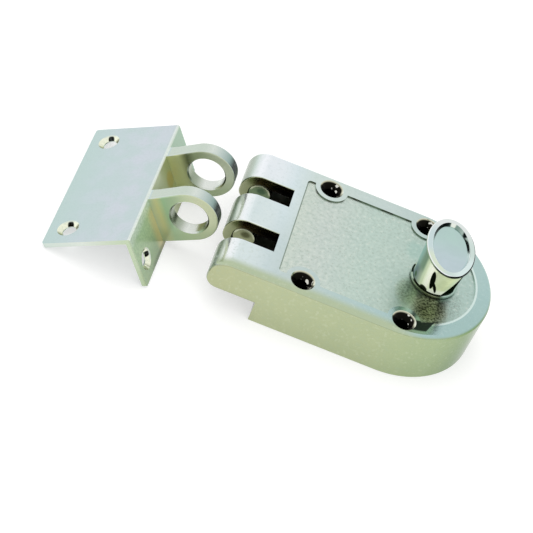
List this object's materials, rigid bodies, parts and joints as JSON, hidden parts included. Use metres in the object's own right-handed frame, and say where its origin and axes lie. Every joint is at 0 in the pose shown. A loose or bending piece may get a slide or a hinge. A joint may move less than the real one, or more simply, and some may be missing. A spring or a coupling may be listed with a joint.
{
  "type": "deadbolt lock",
  "caption": "Surface-mounted interlocking deadbolt: case with thumbturn and drop pins, and a separate angle strike whose rings the pins pass through.",
  "frame": {"origin": "on the door face (the case's back), on the axis of the thumbturn and of the outside cylinder's tailpiece", "axes": "+Z away from the door face, +X from the strike end to the case's round end, the locking pins move toward -Y to lock"},
  "size_m": [0.1746, 0.0746, 0.0439],
  "materials": {
    "nickel_case": "satin nickel plating on cast zinc",
    "nickel_turn": "bright nickel plating on cast zinc",
    "nickel_strike": "satin nickel plating on cast zinc",
    "plated_steel": "zinc plated pressed steel",
    "cast_zinc": "bare cast zinc",
    "bolt_steel": "turned and plated steel",
    "spring_steel": "dark tempered steel",
    "brass_parts": "turned brass",
    "nylon": "natural nylon"
  },
  "bodies": {
    "lock_case": {"case": "nickel_case", "back_cover": "plated_steel", "cover_screws": "plated_steel", "thrust_washer": "brass_parts", "cam_bushing": "brass_parts", "guide_posts": "bolt_steel", "guide_clips": "spring_steel"},
    "turn": {"thumbturn": "nickel_turn", "thumbturn_washer": "nylon", "turn_spindle": "bolt_steel", "retaining_ring": "spring_steel", "spring_washer": "spring_steel", "bolt_cam": "cast_zinc", "crank_pin": "bolt_steel", "crank_roller": "brass_parts"},
    "bolt": {"bolt_carrier": "cast_zinc", "far_bolt_pin": "bolt_steel", "middle_bolt_pin": "bolt_steel", "bolt_pin_screws": "bolt_steel"},
    "loose_strike": {"strike": "nickel_strike"}
  },
  "joints": [
    {"name": "thumbturn_turn", "type": "hinge", "parent": "lock_case", "child": "turn", "pos_m": [0, 0, 0.025], "axis": [0, 0, 1], "range_deg": [0, 90]},
    {"name": "bolt_slide", "type": "slide", "parent": "lock_case", "child": "bolt", "axis": [0, -1, 0], "range_m": [0, 0.0116]},
    {"name": "strike_fit", "type": "hinge", "parent": "lock_case", "child": "loose_strike", "pos_m": [-0.09925, 0, -0.02316], "axis": [0, 1, 0], "range_deg": [0, 31.89]}
  ],
  "couplings": [
    {"joint": "thumbturn_turn", "follows": "bolt_slide", "rad_per_m": 135.41}
  ]
}
